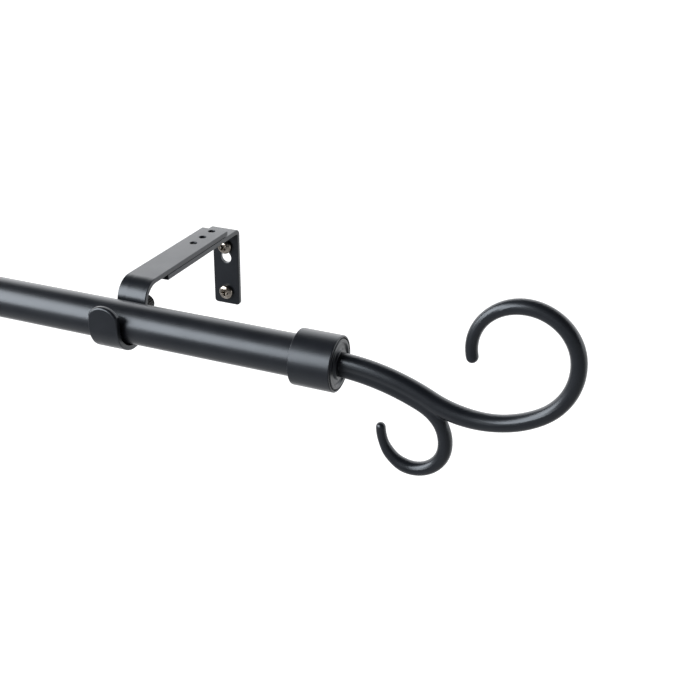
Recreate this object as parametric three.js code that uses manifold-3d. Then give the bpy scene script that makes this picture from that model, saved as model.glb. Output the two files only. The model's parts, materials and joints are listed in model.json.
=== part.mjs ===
// Telescopic curtain rod on two adjustable wall brackets, with a scroll finial at each end.
//
// Millimetres, +Z up. The wall is the plane Y = 0 and the room is on its -Y side. The origin is the
// centre of the right wall plate's back face. X runs along the rod, towards the right finial.

import * as THREE from 'three';
import { mergeVertices } from 'three/addons/utils/BufferGeometryUtils.js';
import Module from 'manifold-3d';

const wasm = await Module();
wasm.setup();

// ---------------------------------------------------------------- driving sizes

// Placing
const projection = 139;            // wall to the rod's axis, brackets pushed in
const bracketSpacing = 515;        // between the brackets' middles, rod pushed in
const bracketToCollar = 119;       // bracket's middle to the near rim of the end collar
const hookToMouth = 5;             // left holder's edge to the thick tube's mouth ring

// Flat bar that both bracket pieces are bent from
const barWidth = 20;
const barThickness = 3.2;

// Wall plate
const plateHeight = 58;
const legToBend = 14.2;            // leg's front end to where the holder starts to bend down
const legFront = 7.5;              // slot's front end to the leg's front end
const plateBendInside = 1.3;
const plateCorner = 2.4;
const lowerScrewHeight = 9.4;      // above the plate's bottom edge
const upperScrewDrop = 13.8;       // below the plate's top face
const upperHoleDrop = 8.5;         // upper screw to the middle of the hole's wide part
const upperHoleMore = 1.5;         // wide part's radius beyond the neck's
const wallHoleClearance = 0.5;     // round the screw's shank

// Rod holder
const slideGap = 0.4;              // between the leg and the holder
const topToAxis = 19.2;            // holder's top face down to the rod's axis
const holderRearGap = 17.2;        // holder's rear end to the wall
const holderBendOutside = 14;
const hookRearClearance = 0.8;     // thick tube to the upright behind it
const hookFrontClearance = 2.3;    // thick tube to the tongue in front of it
const tongueOverRod = 3;           // tongue's top above the rod's top
const tongueArchMore = 1.6;        // arch's radius beyond half the bar's width
const rearHoleInset = 5;
const holePitch = 12.7;
const holderHoles = 3;

// Depth screws
const depthShankRadius = 2.1;
const depthHeadRadius = 4;
const depthHeadHeight = 2.5;
const depthHoleClearance = 0.3;    // round the shank, in the holder's holes and the leg's slot
const depthScrewRecess = 1.2;      // the screw's end below the holder's top face

// Wall screws
const wallShankRadius = 2.1;
const wallShankLength = 22;
const wallHeadRadius = 5.2;
const wallHeadHeight = 3.6;
const recessSpan = 5;
const recessWidth = 1.1;
const recessDepth = 1.7;

// Lock screw, a thumb screw
const lockRadius = 2.5;
const lockHoleClearance = 0.3;
const lockLength = 11.7;           // tip to the knob
const lockKnobRadius = 5.2;
const lockKnobLength = 7.5;

// Tubes
const outerTubeRadius = 12.5;
const tubeWall = 0.7;
const telescopeGap = 0.8;          // between the two tubes
const innerTubeLength = 640;
const guideClearance = 0.15;
const mouthLip = 1.2;
const mouthSleeve = 14;
const plugDepth = 14;
const plugFlange = 4;

// End collar, its liner and the end plate
const collarLength = 25.2;
const collarWall = 1.2;
const collarEdge = 1;
const webThickness = 1.5;
const webInset = 1.6;              // collar's outer rim to the web's face
const linerInset = 0.4;
const linerWall = 2.35;            // round the thick tube
const linerClearance = 0.3;
const tubeEndGap = 0.6;            // tube's end to the web
const endPlateGap = 0.7;           // round the end plate
const endPlateThickness = 1.6;
const bossRadius = 8.6;
const bossHeight = 0.6;

// Screw that holds the scroll
const scrollShankRadius = 2.5;
const scrollShankLength = 21;
const scrollHeadRadius = 4.5;
const scrollHeadHeight = 2.8;
const scrollHoleClearance = 0.4;

// Between two pieces that touch
const touch = 0.3;

// Scroll: two bent round bars, each a start, a heading and arcs [radius, degrees, positive = up].
// Along each bar, [distance, radius] gives the taper. The base is cut flat at x = 0.
const longBar = {
  start: [-2.4, 1.75],
  heading: -0.6,
  arcs: [[129.4, -25.2], [65.2, 26.2], [59.8, 33.1], [36.8, 64.2], [29.5, 66.3], [28.1, 67.1], [26.3, 60.7]],
  taper: [[0, 5.6], [70, 5.6], [102, 5], [150, 4.5], [202, 4.5], [236, 3.6], [280, 3.5]],
};
const shortBar = {
  start: [-2.4, -2.55],
  heading: -1.8,
  arcs: [[134.9, -21.7], [26.1, -70.5], [18.8, -78.4], [17.1, -44], [22.1, -28.9], [28.9, -27.4]],
  taper: [[0, 5], [50, 5], [72, 4.3], [115, 4.2], [126, 3.6], [136, 3], [160, 2.7]],
};
const barStep = 4.5;
const barSides = 12;

// Facets round turned pieces
const turnSides = 24;
const smallSides = 16;

// ---------------------------------------------------------------- worked-out places

const innerTubeRadius = outerTubeRadius - tubeWall - telescopeGap;
const collarBore = outerTubeRadius + guideClearance + linerWall + linerClearance;
const collarRadius = collarBore + collarWall;
const tubeInCollar = collarLength - webInset - webThickness - tubeEndGap;
const rodHeight = plateHeight / 2 + slideGap + barThickness - topToAxis;
const uprightFace = outerTubeRadius + hookRearClearance;
const hookRadius = outerTubeRadius + (hookRearClearance + hookFrontClearance) / 2;
const hookForward = (hookFrontClearance - hookRearClearance) / 2;
// Height of the hook's middle over the axis of a tube that lies in it.
const hookAbove = (tubeRadius) => Math.sqrt((hookRadius - tubeRadius - touch) ** 2 - hookForward ** 2);
const hookRaise = hookAbove(outerTubeRadius);
const leftRaise = hookAbove(innerTubeRadius) - hookRaise;
const outerTubeEnd = bracketToCollar + tubeInCollar;
const innerTubeEnd = -bracketSpacing - bracketToCollar - tubeInCollar;
const outerTubeMouth = -bracketSpacing + barWidth / 2 + hookToMouth + mouthLip + touch;
const outerTubeLength = outerTubeEnd - outerTubeMouth;
const wallScrewLower = lowerScrewHeight - plateHeight / 2;
const wallScrewUpper = plateHeight / 2 - upperScrewDrop;
const wallHoleRadius = wallShankRadius + wallHoleClearance;
const holderLength = projection - holderRearGap;
const legLength = projection - uprightFace - holderBendOutside - legToBend;
const rearScrew = -holderRearGap - rearHoleInset;
const frontScrew = rearScrew - (holderHoles - 1) * holePitch;
const depthHoleRadius = depthShankRadius + depthHoleClearance;
const slotFront = -legLength + legFront + depthHoleRadius;

// ---------------------------------------------------------------- materials

const coat = () => new THREE.MeshStandardMaterial({ color: 0x24272b, roughness: 0.42, metalness: 0.25 });
const nickel = () => new THREE.MeshStandardMaterial({ color: 0xb9b2a6, roughness: 0.2, metalness: 1 });
const zinc = () => new THREE.MeshStandardMaterial({ color: 0x8f9194, roughness: 0.38, metalness: 1 });
const blackened = () => new THREE.MeshStandardMaterial({ color: 0x1c1b1a, roughness: 0.5, metalness: 0.7 });
const plastic = () => new THREE.MeshStandardMaterial({ color: 0x2b2c2e, roughness: 0.6, metalness: 0 });

// ---------------------------------------------------------------- solids

// A closed geometry as a solid, for joining and cutting.
function solid(geometry) {
  const bare = geometry.clone();
  bare.deleteAttribute('normal');
  bare.deleteAttribute('uv');
  const merged = mergeVertices(bare, 1e-4);
  const vertProperties = new Float32Array(merged.attributes.position.array);
  const triVerts = new Uint32Array(merged.index.array);
  return new wasm.Manifold(new wasm.Mesh({ numProp: 3, vertProperties, triVerts }));
}

function geometryOf(body) {
  const { vertProperties, triVerts } = body.getMesh();
  const geometry = new THREE.BufferGeometry();
  geometry.setAttribute('position', new THREE.BufferAttribute(new Float32Array(vertProperties), 3));
  geometry.setIndex(new THREE.BufferAttribute(new Uint32Array(triVerts), 1));
  geometry.computeVertexNormals();
  return geometry;
}

function cut(geometry, tools) {
  const left = tools.reduce((body, tool) => body.subtract(solid(tool)), solid(geometry));
  return geometryOf(left);
}

function part(name, geometry, material) {
  const mesh = new THREE.Mesh(geometry, material);
  mesh.name = name;
  return mesh;
}

// A block between two corners.
function block(low, high) {
  const size = high.map((value, i) => value - low[i]);
  const geometry = new THREE.BoxGeometry(...size);
  return geometry.translate(...low.map((value, i) => value + size[i] / 2));
}

// A round rod from point to point along the Y or Z axis.
function peg(axis, radius, from, length, sides = smallSides) {
  const geometry = new THREE.CylinderGeometry(radius, radius, length, sides);
  if (axis === 'z') {
    geometry.rotateX(Math.PI / 2);
  }
  const middle = axis === 'y' ? [0, length / 2, 0] : [0, 0, length / 2];
  return geometry.translate(from[0] + middle[0], from[1] + middle[1], from[2] + middle[2]);
}

// A turned piece about the X axis. The profile is [x, radius] points.
function turned(profile, sides = turnSides) {
  const points = profile.map(([x, radius]) => new THREE.Vector2(radius, x));
  return new THREE.LatheGeometry(points, sides).rotateZ(-Math.PI / 2);
}

// A ring-shaped turned piece: the profile closes on itself.
function turnedRing(profile, sides = turnSides) {
  return turned([...profile, profile[0]], sides);
}

// A bent flat bar: an outline in the YZ plane, as wide as the bar along X.
function bentBar(outline) {
  const options = { depth: barWidth, bevelEnabled: false, curveSegments: 10 };
  const geometry = new THREE.ExtrudeGeometry(outline, options);
  const turn = new THREE.Matrix4().makeBasis(
    new THREE.Vector3(0, 1, 0),
    new THREE.Vector3(0, 0, 1),
    new THREE.Vector3(1, 0, 0),
  );
  return geometry.applyMatrix4(turn).translate(-barWidth / 2, 0, 0);
}

// A slot with round ends, cut along one axis through the bar, as its two pegs and the block between.
function slotTools(axis, radius, from, to, length) {
  const low = [Math.min(from[0], to[0]), Math.min(from[1], to[1]), Math.min(from[2], to[2])];
  const high = [Math.max(from[0], to[0]), Math.max(from[1], to[1]), Math.max(from[2], to[2])];
  low[0] -= radius;
  high[0] += radius;
  high[axis === 'y' ? 1 : 2] += length;
  return [peg(axis, radius, from, length), peg(axis, radius, to, length), block(low, high)];
}

// A cross recess in a head whose top is at x = 0, opening towards -X.
function crossTools() {
  const reach = recessSpan / 2;
  const half = recessWidth / 2;
  return [
    block([-1, -reach, -half], [recessDepth, reach, half]),
    block([-1, -half, -reach], [recessDepth, half, reach]),
  ];
}

// A pan-head screw along +X: the underside of its head is at x = 0, and its shank ends in a point or flat.
function panScrew({ headRadius, headHeight, shankRadius, shankLength, pointLength }) {
  const shoulder = headHeight * 0.45;
  const profile = [
    [-headHeight, 0],
    [-headHeight, headRadius * 0.55],
    [-headHeight + 0.5, headRadius * 0.8],
    [-shoulder, headRadius],
    [0, headRadius],
    [0, shankRadius],
    [shankLength - pointLength, shankRadius],
    [shankLength, pointLength > 1 ? 0.3 : shankRadius - 0.4],
    [shankLength, 0],
  ];
  const tools = crossTools().map((tool) => tool.translate(-headHeight, 0, 0));
  return cut(turned(profile, smallSides), tools);
}

// ---------------------------------------------------------------- bracket pieces

// Flat bar bent to an L: upright on the wall with a round hole and a pear-shaped one above
// it, and a slotted leg into the room.
function wallPlateGeometry() {
  const top = plateHeight / 2;
  const bottom = -top;
  const outside = plateBendInside + barThickness;
  const outline = new THREE.Shape();
  outline.moveTo(0, bottom);
  outline.lineTo(0, top - outside);
  outline.absarc(-outside, top - outside, outside, 0, Math.PI / 2, false);
  outline.lineTo(-legLength, top);
  outline.lineTo(-legLength, top - barThickness);
  outline.lineTo(-outside, top - barThickness);
  outline.absarc(-outside, top - outside, plateBendInside, Math.PI / 2, 0, true);
  outline.lineTo(-barThickness, bottom);
  const through = barThickness + 2;
  const y = -barThickness - 1;
  const z = top - barThickness - 1;
  const wide = wallScrewUpper - upperHoleDrop;
  const tools = [
    peg('y', wallHoleRadius, [0, y, wallScrewLower], through),
    peg('y', wallHoleRadius + upperHoleMore, [0, y, wide], through, turnSides),
    ...slotTools('y', wallHoleRadius, [0, y, wide], [0, y, wallScrewUpper], through),
    ...slotTools('z', depthHoleRadius, [0, slotFront, z], [0, rearScrew, z], through),
  ];
  for (const side of [-1, 1]) {
    const inner = side * (barWidth / 2 - plateCorner);
    const outer = side * (barWidth / 2 + 1);
    const corner = block(
      [Math.min(inner, outer), y, bottom - 1],
      [Math.max(inner, outer), y + through, bottom + plateCorner],
    );
    tools.push(cut(corner, [peg('y', plateCorner, [inner, y - 1, bottom + plateCorner], through + 2)]));
  }
  return cut(bentBar(outline), tools);
}

// Flat bar bent to a holder. Here the rod's axis is at y = 0, z = 0.
function rodHolderGeometry() {
  const outer = hookRadius + barThickness;
  const bendInside = holderBendOutside - barThickness;
  const bendY = uprightFace + holderBendOutside;
  const bendZ = topToAxis - holderBendOutside;
  const tongueFace = -hookForward - outer;
  const tongueTop = outerTubeRadius + tongueOverRod;
  const tongueArch = barWidth / 2 + tongueArchMore;
  const outline = new THREE.Shape();
  outline.moveTo(tongueFace, tongueTop);
  outline.lineTo(tongueFace, hookRaise);
  outline.absarc(-hookForward, hookRaise, outer, Math.PI, 2 * Math.PI, false);
  outline.lineTo(uprightFace + barThickness, bendZ);
  outline.absarc(bendY, bendZ, bendInside, Math.PI, Math.PI / 2, true);
  outline.lineTo(holderLength, topToAxis - barThickness);
  outline.lineTo(holderLength, topToAxis);
  outline.lineTo(bendY, topToAxis);
  outline.absarc(bendY, bendZ, holderBendOutside, Math.PI / 2, Math.PI, false);
  outline.lineTo(uprightFace, hookRaise);
  outline.absarc(-hookForward, hookRaise, hookRadius, 2 * Math.PI, Math.PI, true);
  outline.lineTo(tongueFace + barThickness, tongueTop);

  const through = barThickness + 2;
  const tools = [peg('y', lockRadius + lockHoleClearance, [0, uprightFace - 1, 0], through)];
  for (let i = 0; i < holderHoles; i += 1) {
    const y = holderLength - rearHoleInset - i * holePitch;
    tools.push(peg('z', depthHoleRadius, [0, y, topToAxis - barThickness - 1], through));
  }
  const archCentre = tongueTop - tongueArch;
  const archBlock = block(
    [-barWidth, tongueFace - 1, archCentre],
    [barWidth, tongueFace + through - 1, tongueTop + 2],
  );
  tools.push(cut(archBlock, [peg('y', tongueArch, [0, tongueFace - 2, archCentre], through + 2, 48)]));
  return cut(bentBar(outline), tools);
}

// Wall screw, pointing into the wall.
function wallScrewGeometry() {
  const screw = panScrew({
    headRadius: wallHeadRadius,
    headHeight: wallHeadHeight,
    shankRadius: wallShankRadius,
    shankLength: wallShankLength,
    pointLength: 6,
  });
  return screw.rotateZ(Math.PI / 2);
}

// Depth screw, pointing up. Its length reaches just below the holder's top face.
function depthScrewGeometry() {
  const screw = panScrew({
    headRadius: depthHeadRadius,
    headHeight: depthHeadHeight,
    shankRadius: depthShankRadius,
    shankLength: 2 * barThickness + slideGap + touch - depthScrewRecess,
    pointLength: 0.4,
  });
  return screw.rotateY(-Math.PI / 2);
}

// Thumb screw along -Y: its tip is at y = 0.
function lockScrewGeometry() {
  const knob = lockLength;
  const profile = [
    [0, 0],
    [0, lockRadius - 0.5],
    [0.5, lockRadius],
    [knob, lockRadius],
    [knob, lockKnobRadius - 0.5],
    [knob + 0.5, lockKnobRadius],
    [knob + lockKnobLength - 0.6, lockKnobRadius],
    [knob + lockKnobLength, lockKnobRadius - 0.8],
    [knob + lockKnobLength, 0],
  ];
  return turned(profile, smallSides).rotateZ(Math.PI / 2);
}

// One bracket. rodRadius is the tube that its lock screw presses on.
function bracket(side, rodRadius) {
  const group = new THREE.Group();
  group.add(part(`${side}_wall_plate`, wallPlateGeometry(), coat()));
  const under = -barThickness - touch;
  const upper = part(`${side}_upper_wall_screw`, wallScrewGeometry(), nickel());
  upper.position.set(0, under, wallScrewUpper);
  const lower = part(`${side}_lower_wall_screw`, wallScrewGeometry(), nickel());
  lower.position.set(0, under, wallScrewLower);
  group.add(upper, lower);

  const holder = part(`${side}_rod_holder`, rodHolderGeometry(), coat());
  holder.position.set(0, -projection, rodHeight);
  group.add(holder);
  const legUnderside = plateHeight / 2 - barThickness - touch;
  for (const [name, y] of [['front', frontScrew], ['rear', rearScrew]]) {
    const screw = part(`${side}_${name}_depth_screw`, depthScrewGeometry(), zinc());
    screw.position.set(0, y, legUnderside);
    group.add(screw);
  }
  const lock = part(`${side}_lock_screw`, lockScrewGeometry(), blackened());
  lock.position.set(0, -projection + rodRadius + touch, rodHeight);
  group.add(lock);
  return group;
}

// ---------------------------------------------------------------- tubes

function tubeGeometry(radius, length) {
  return turnedRing([[0, radius - tubeWall], [0, radius], [length, radius], [length, radius - tubeWall]]);
}

// Guide ring in the thick tube's mouth, with a lip outside it. The tube's end is at x = 0.
function mouthRingGeometry() {
  const inside = innerTubeRadius + guideClearance;
  const sleeve = outerTubeRadius - tubeWall - guideClearance;
  const profile = [
    [-mouthLip - touch, inside],
    [-mouthLip - touch, outerTubeRadius - 0.3],
    [-mouthLip, outerTubeRadius],
    [-touch, outerTubeRadius],
    [-touch, sleeve],
    [mouthSleeve, sleeve],
    [mouthSleeve, inside],
  ];
  return turnedRing(profile);
}

// Plug in the thin tube's hidden end, with a flange that runs in the thick tube. The end is at x = 0.
function slidePlugGeometry() {
  const stem = innerTubeRadius - tubeWall - guideClearance;
  const flange = outerTubeRadius - tubeWall - guideClearance;
  const profile = [
    [-plugDepth, 0],
    [-plugDepth, stem],
    [touch, stem],
    [touch, flange],
    [touch + plugFlange, flange],
    [touch + plugFlange, 0],
  ];
  return turned(profile);
}

// ---------------------------------------------------------------- finial

// Point, heading and taper at a distance along a bar.
function alongBar(bar, distance) {
  let [x, z] = bar.start;
  let heading = THREE.MathUtils.degToRad(bar.heading);
  let left = distance;
  for (const [radius, degrees] of bar.arcs) {
    const turn = Math.sign(degrees);
    const length = radius * THREE.MathUtils.degToRad(Math.abs(degrees));
    const sweep = (turn * Math.min(left, length)) / radius;
    x += turn * radius * (Math.sin(heading + sweep) - Math.sin(heading));
    z -= turn * radius * (Math.cos(heading + sweep) - Math.cos(heading));
    heading += sweep;
    left -= length;
    if (left <= 0) {
      break;
    }
  }
  return { x, z, heading };
}

function barLength(bar) {
  const lengths = bar.arcs.map(([radius, degrees]) => radius * THREE.MathUtils.degToRad(Math.abs(degrees)));
  return lengths.reduce((sum, length) => sum + length, 0);
}

function taperAt(bar, distance) {
  const next = bar.taper.findIndex(([at]) => at >= distance);
  if (next <= 0) {
    return bar.taper[0][1];
  }
  const [from, r0] = bar.taper[next - 1];
  const [to, r1] = bar.taper[next];
  return THREE.MathUtils.mapLinear(distance, from, to, r0, r1);
}

// A turned tapered blank with a round tip, bent along the bar's arcs.
function bentRoundBar(bar) {
  const length = barLength(bar);
  const tip = taperAt(bar, length);
  const steps = Math.round((length - tip) / barStep);
  const profile = [[0, 0]];
  for (let i = 0; i <= steps; i += 1) {
    const s = ((length - tip) * i) / steps;
    profile.push([s, taperAt(bar, s)]);
  }
  for (const angle of [30, 60]) {
    const a = THREE.MathUtils.degToRad(angle);
    profile.push([length - tip + tip * Math.sin(a), tip * Math.cos(a)]);
  }
  profile.push([length, 0]);
  const blank = turned(profile, barSides);
  const position = blank.attributes.position;
  for (let i = 0; i < position.count; i += 1) {
    const { x, z, heading } = alongBar(bar, position.getX(i));
    const offset = position.getZ(i);
    position.setXYZ(i, x - offset * Math.sin(heading), position.getY(i), z + offset * Math.cos(heading));
  }
  return blank;
}

// A finial for a tube of the given radius. The collar's near rim is at x = 0.
function finial(side, tubeRadius) {
  const group = new THREE.Group();
  const webFace = collarLength - webInset;
  const webBack = webFace - webThickness;
  const screwHole = scrollShankRadius + scrollHoleClearance;

  const collar = turnedRing([
    [0, collarBore],
    [0, collarRadius - collarEdge / 2],
    [collarEdge / 2, collarRadius],
    [collarLength - collarEdge, collarRadius],
    [collarLength - collarEdge * 0.3, collarRadius - collarEdge * 0.3],
    [collarLength, collarRadius - collarEdge],
    [collarLength, collarBore],
    [webFace, collarBore],
    [webFace, screwHole],
    [webBack, screwHole],
    [webBack, collarBore],
  ]);
  group.add(part(`${side}_end_collar`, collar, coat()));

  const linerOutside = collarBore - linerClearance;
  const linerInside = tubeRadius + guideClearance;
  const linerEnd = webBack - touch;
  const liner = turnedRing([
    [linerInset, linerInside],
    [linerInset, linerOutside],
    [linerEnd, linerOutside],
    [linerEnd, linerInside],
  ]);
  group.add(part(`${side}_collar_liner`, liner, plastic()));

  const plateBack = webFace + touch;
  const plateFront = plateBack + endPlateThickness;
  const bossFront = plateFront + bossHeight;
  const endPlateRadius = collarBore - endPlateGap;
  const endPlate = turnedRing([
    [plateBack, screwHole],
    [plateBack, endPlateRadius],
    [plateFront - 0.5, endPlateRadius],
    [plateFront, endPlateRadius - 0.6],
    [plateFront, bossRadius],
    [bossFront, bossRadius - 0.4],
    [bossFront, screwHole],
  ]);
  group.add(part(`${side}_end_plate`, endPlate, coat()));

  const scrollStart = bossFront + touch;
  const screwHead = webBack - touch;
  const screwEnd = screwHead + scrollShankLength;
  const joined = solid(bentRoundBar(longBar)).add(solid(bentRoundBar(shortBar)));
  const holeEnd = screwEnd - scrollStart + touch;
  const blindHole = turned([[-1, 0], [-1, screwHole], [holeEnd, screwHole], [holeEnd, 0]], smallSides);
  const behindBase = block([-10, -collarRadius, -collarRadius], [0, collarRadius, collarRadius]);
  const trimmed = joined.subtract(solid(behindBase)).subtract(solid(blindHole));
  const scroll = part(`${side}_scroll`, geometryOf(trimmed), coat());
  scroll.position.x = scrollStart;
  group.add(scroll);

  const screw = panScrew({
    headRadius: scrollHeadRadius,
    headHeight: scrollHeadHeight,
    shankRadius: scrollShankRadius,
    shankLength: scrollShankLength,
    pointLength: 0.5,
  });
  const scrollScrew = part(`${side}_scroll_screw`, screw, zinc());
  scrollScrew.position.x = screwHead;
  group.add(scrollScrew);
  return group;
}

// ---------------------------------------------------------------- assembly

const assembly = new THREE.Group();

assembly.add(bracket('right', outerTubeRadius));
const leftBracket = bracket('left', innerTubeRadius);
leftBracket.position.set(-bracketSpacing, 0, leftRaise);
assembly.add(leftBracket);

// Everything on the rod's axis.
const rod = new THREE.Group();
rod.position.set(0, -projection, rodHeight);
assembly.add(rod);

const outerTube = part('outer_tube', tubeGeometry(outerTubeRadius, outerTubeLength), coat());
outerTube.position.x = outerTubeMouth;
const mouthRing = part('mouth_ring', mouthRingGeometry(), plastic());
mouthRing.position.x = outerTubeMouth;
const innerTube = part('inner_tube', tubeGeometry(innerTubeRadius, innerTubeLength), coat());
innerTube.position.x = innerTubeEnd;
const slidePlug = part('slide_plug', slidePlugGeometry(), plastic());
slidePlug.position.x = innerTubeEnd + innerTubeLength;
rod.add(outerTube, mouthRing, innerTube, slidePlug);

const rightFinial = finial('right', outerTubeRadius);
rightFinial.position.x = bracketToCollar;
const leftFinial = finial('left', innerTubeRadius);
leftFinial.position.x = -bracketSpacing - bracketToCollar;
leftFinial.rotation.z = Math.PI;
rod.add(rightFinial, leftFinial);

export default assembly;
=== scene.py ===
# %% [markdown]
# # A black curtain rod on two wall brackets
#
# The object is a telescopic steel rod with a scroll at each end. It rests in two hooks, and each
# hook is part of an adjustable bracket that is screwed to the wall. The shapes and the moving
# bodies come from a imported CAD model. This lesson gives every CAD part its finished surface:
# rounded edges, threads, grip ridges, a sprayed powder coat and bare metal screws.
#
# The first cell loads the CAD parts. They stay where they are, as a frame to build on.

# %% Load the CAD parts
import json
import math

import bmesh
import bpy
from mathutils import Matrix, Vector


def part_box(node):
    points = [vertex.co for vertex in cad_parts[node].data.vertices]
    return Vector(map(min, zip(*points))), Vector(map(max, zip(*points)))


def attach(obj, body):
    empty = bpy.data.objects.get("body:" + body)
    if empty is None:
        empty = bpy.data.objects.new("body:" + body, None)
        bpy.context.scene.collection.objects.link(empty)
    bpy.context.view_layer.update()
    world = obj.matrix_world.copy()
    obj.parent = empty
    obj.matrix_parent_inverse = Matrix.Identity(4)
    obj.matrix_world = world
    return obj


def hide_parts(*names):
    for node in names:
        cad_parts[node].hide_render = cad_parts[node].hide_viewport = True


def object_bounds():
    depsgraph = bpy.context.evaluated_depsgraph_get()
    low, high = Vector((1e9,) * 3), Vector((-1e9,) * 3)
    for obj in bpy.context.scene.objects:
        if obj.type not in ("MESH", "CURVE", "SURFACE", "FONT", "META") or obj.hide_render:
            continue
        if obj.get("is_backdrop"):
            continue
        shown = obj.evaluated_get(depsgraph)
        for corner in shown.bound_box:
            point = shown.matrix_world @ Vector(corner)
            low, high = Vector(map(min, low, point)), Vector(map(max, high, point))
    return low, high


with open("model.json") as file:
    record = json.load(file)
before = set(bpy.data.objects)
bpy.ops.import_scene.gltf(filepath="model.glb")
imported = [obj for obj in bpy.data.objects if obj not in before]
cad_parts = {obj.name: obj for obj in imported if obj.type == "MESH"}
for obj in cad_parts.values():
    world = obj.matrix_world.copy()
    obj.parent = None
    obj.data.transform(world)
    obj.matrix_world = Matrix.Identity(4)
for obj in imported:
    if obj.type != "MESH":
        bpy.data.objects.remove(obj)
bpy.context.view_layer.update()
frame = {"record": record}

# %% [markdown]
# ## Where things are
#
# CAD boxes are in metres. Small hardware is easier to read in millimetres, so a helper gives each
# CAD box in millimetres, and every piece is shaped in millimetres and shrunk once at the end.
# The left bracket is the right one moved along the wall, and the left finial is the right one
# turned half a turn, so two matrices are enough to make the left side from the right one.

# %% Places from the CAD boxes
MM = 0.001


def cad_mm(node):
    low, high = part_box(node)
    return low / MM, high / MM


plate_low, plate_high = cad_mm("right_wall_plate")
_, holder_high = cad_mm("right_rod_holder")
tube_low, tube_high = cad_mm("outer_tube")
thin_low, thin_high = cad_mm("inner_tube")
collar_low, collar_high = cad_mm("right_end_collar")
_, left_collar_high = cad_mm("left_end_collar")

rod_y = (tube_low.y + tube_high.y) / 2
rod_z = (tube_low.z + tube_high.z) / 2
tube_radius = (tube_high.z - tube_low.z) / 2
thin_radius = (thin_high.z - thin_low.z) / 2
on_rod = Matrix.Translation((0, rod_y, rod_z))
to_left_bracket = Matrix.Translation(cad_mm("left_wall_plate")[0] - plate_low)
to_left_finial = (
    on_rod
    @ Matrix.Translation((left_collar_high.x, 0, 0))
    @ Matrix.Rotation(math.pi, 4, "Z")
    @ Matrix.Translation((-collar_low.x, 0, 0))
    @ on_rod.inverted()
)
print(f"rod's axis at y {rod_y:.1f}, z {rod_z:.1f}")
print(f"tubes {tube_radius:.2f} and {thin_radius:.2f} mm in radius")

# %% [markdown]
# ## Finishes
#
# Each finish is one Principled material with its detail in nodes. The patterns read Object
# coordinates, because every finished piece keeps its object at the origin: the grain then has the
# same size on a screw and on a long tube. A helper links a noise pattern to a socket through a
# range, which is all that a sprayed or plated surface needs.

# %% Helpers for materials
def new_finish(name):
    material = bpy.data.materials.new(name)
    material.use_nodes = True
    shader = material.node_tree.nodes["Principled BSDF"]
    return material, material.node_tree, shader


def noise_of(tree, scale, detail=2.0, stretch=(1, 1, 1)):
    nodes, links = tree.nodes, tree.links
    place = nodes.new("ShaderNodeTexCoord")
    mapping = nodes.new("ShaderNodeMapping")
    mapping.inputs["Scale"].default_value = stretch
    noise = nodes.new("ShaderNodeTexNoise")
    noise.inputs["Scale"].default_value = scale
    noise.inputs["Detail"].default_value = detail
    links.new(place.outputs["Object"], mapping.inputs["Vector"])
    links.new(mapping.outputs["Vector"], noise.inputs["Vector"])
    return noise.outputs["Fac"]


def in_range(tree, value, low, high, from_low=0.3, from_high=0.7):
    node = tree.nodes.new("ShaderNodeMapRange")
    node.inputs["From Min"].default_value = from_low
    node.inputs["From Max"].default_value = from_high
    node.inputs["To Min"].default_value = low
    node.inputs["To Max"].default_value = high
    tree.links.new(value, node.inputs["Value"])
    return node.outputs["Result"]


def mixed_colour(tree, value, first, second):
    """first and second are colours, or first is the output of another mix."""
    node = tree.nodes.new("ShaderNodeMix")
    node.data_type = "RGBA"
    for label, colour in (("A", first), ("B", second)):
        if isinstance(colour, tuple):
            node.inputs[label].default_value = (*colour, 1)
        else:
            tree.links.new(colour, node.inputs[label])
    tree.links.new(value, node.inputs["Factor"])
    return node.outputs["Result"]


def add_bump(tree, shader, heights):
    """heights is a list of (value, strength, distance in mm), the coarsest first."""
    normal = None
    for value, strength, distance in heights:
        bump = tree.nodes.new("ShaderNodeBump")
        bump.inputs["Strength"].default_value = strength
        bump.inputs["Distance"].default_value = distance * MM
        tree.links.new(value, bump.inputs["Height"])
        if normal is not None:
            tree.links.new(normal, bump.inputs["Normal"])
        normal = bump.outputs["Normal"]
    tree.links.new(normal, shader.inputs["Normal"])


print("material helpers ready")

# %% [markdown]
# ### Satin black powder coat
#
# Powder is sprayed on the steel and baked, so it melts into a film with a fine orange peel and
# a faint unevenness of gloss. It is nearly black with a little blue. Two sizes of noise make the
# bump, a third moves the roughness, and worn edges show slightly paler film, found with the
# Pointiness of the surface.

# %% The powder coat
FILM = ((0.0040, 0.0048, 0.0066), (0.0062, 0.0070, 0.0092))
SPECK = (0.014, 0.016, 0.020)
WORN = (0.022, 0.024, 0.028)


def powder_coat():
    material, tree, shader = new_finish("powder_coat")
    peel = noise_of(tree, 1500, 3)
    ripple = noise_of(tree, 260, 2)
    patches = noise_of(tree, 45, 4)
    specks = noise_of(tree, 3800, 2)
    edge = tree.nodes.new("ShaderNodeNewGeometry").outputs["Pointiness"]
    film = mixed_colour(tree, in_range(tree, patches, 0, 1), *FILM)
    speckled = mixed_colour(tree, in_range(tree, specks, 0, 0.55, 0.62, 0.72), film, SPECK)
    worn = mixed_colour(tree, in_range(tree, edge, 0, 0.6, 0.56, 0.68), speckled, WORN)
    tree.links.new(worn, shader.inputs["Base Color"])
    tree.links.new(in_range(tree, patches, 0.30, 0.36), shader.inputs["Roughness"])
    add_bump(tree, shader, [(ripple, 0.25, 0.02), (peel, 0.35, 0.012)])
    shader.inputs["Specular IOR Level"].default_value = 0.42
    shader.inputs["Specular Tint"].default_value = (0.86, 0.93, 1.0, 1)
    return material


coat = powder_coat()
print("made", coat.name)

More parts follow.
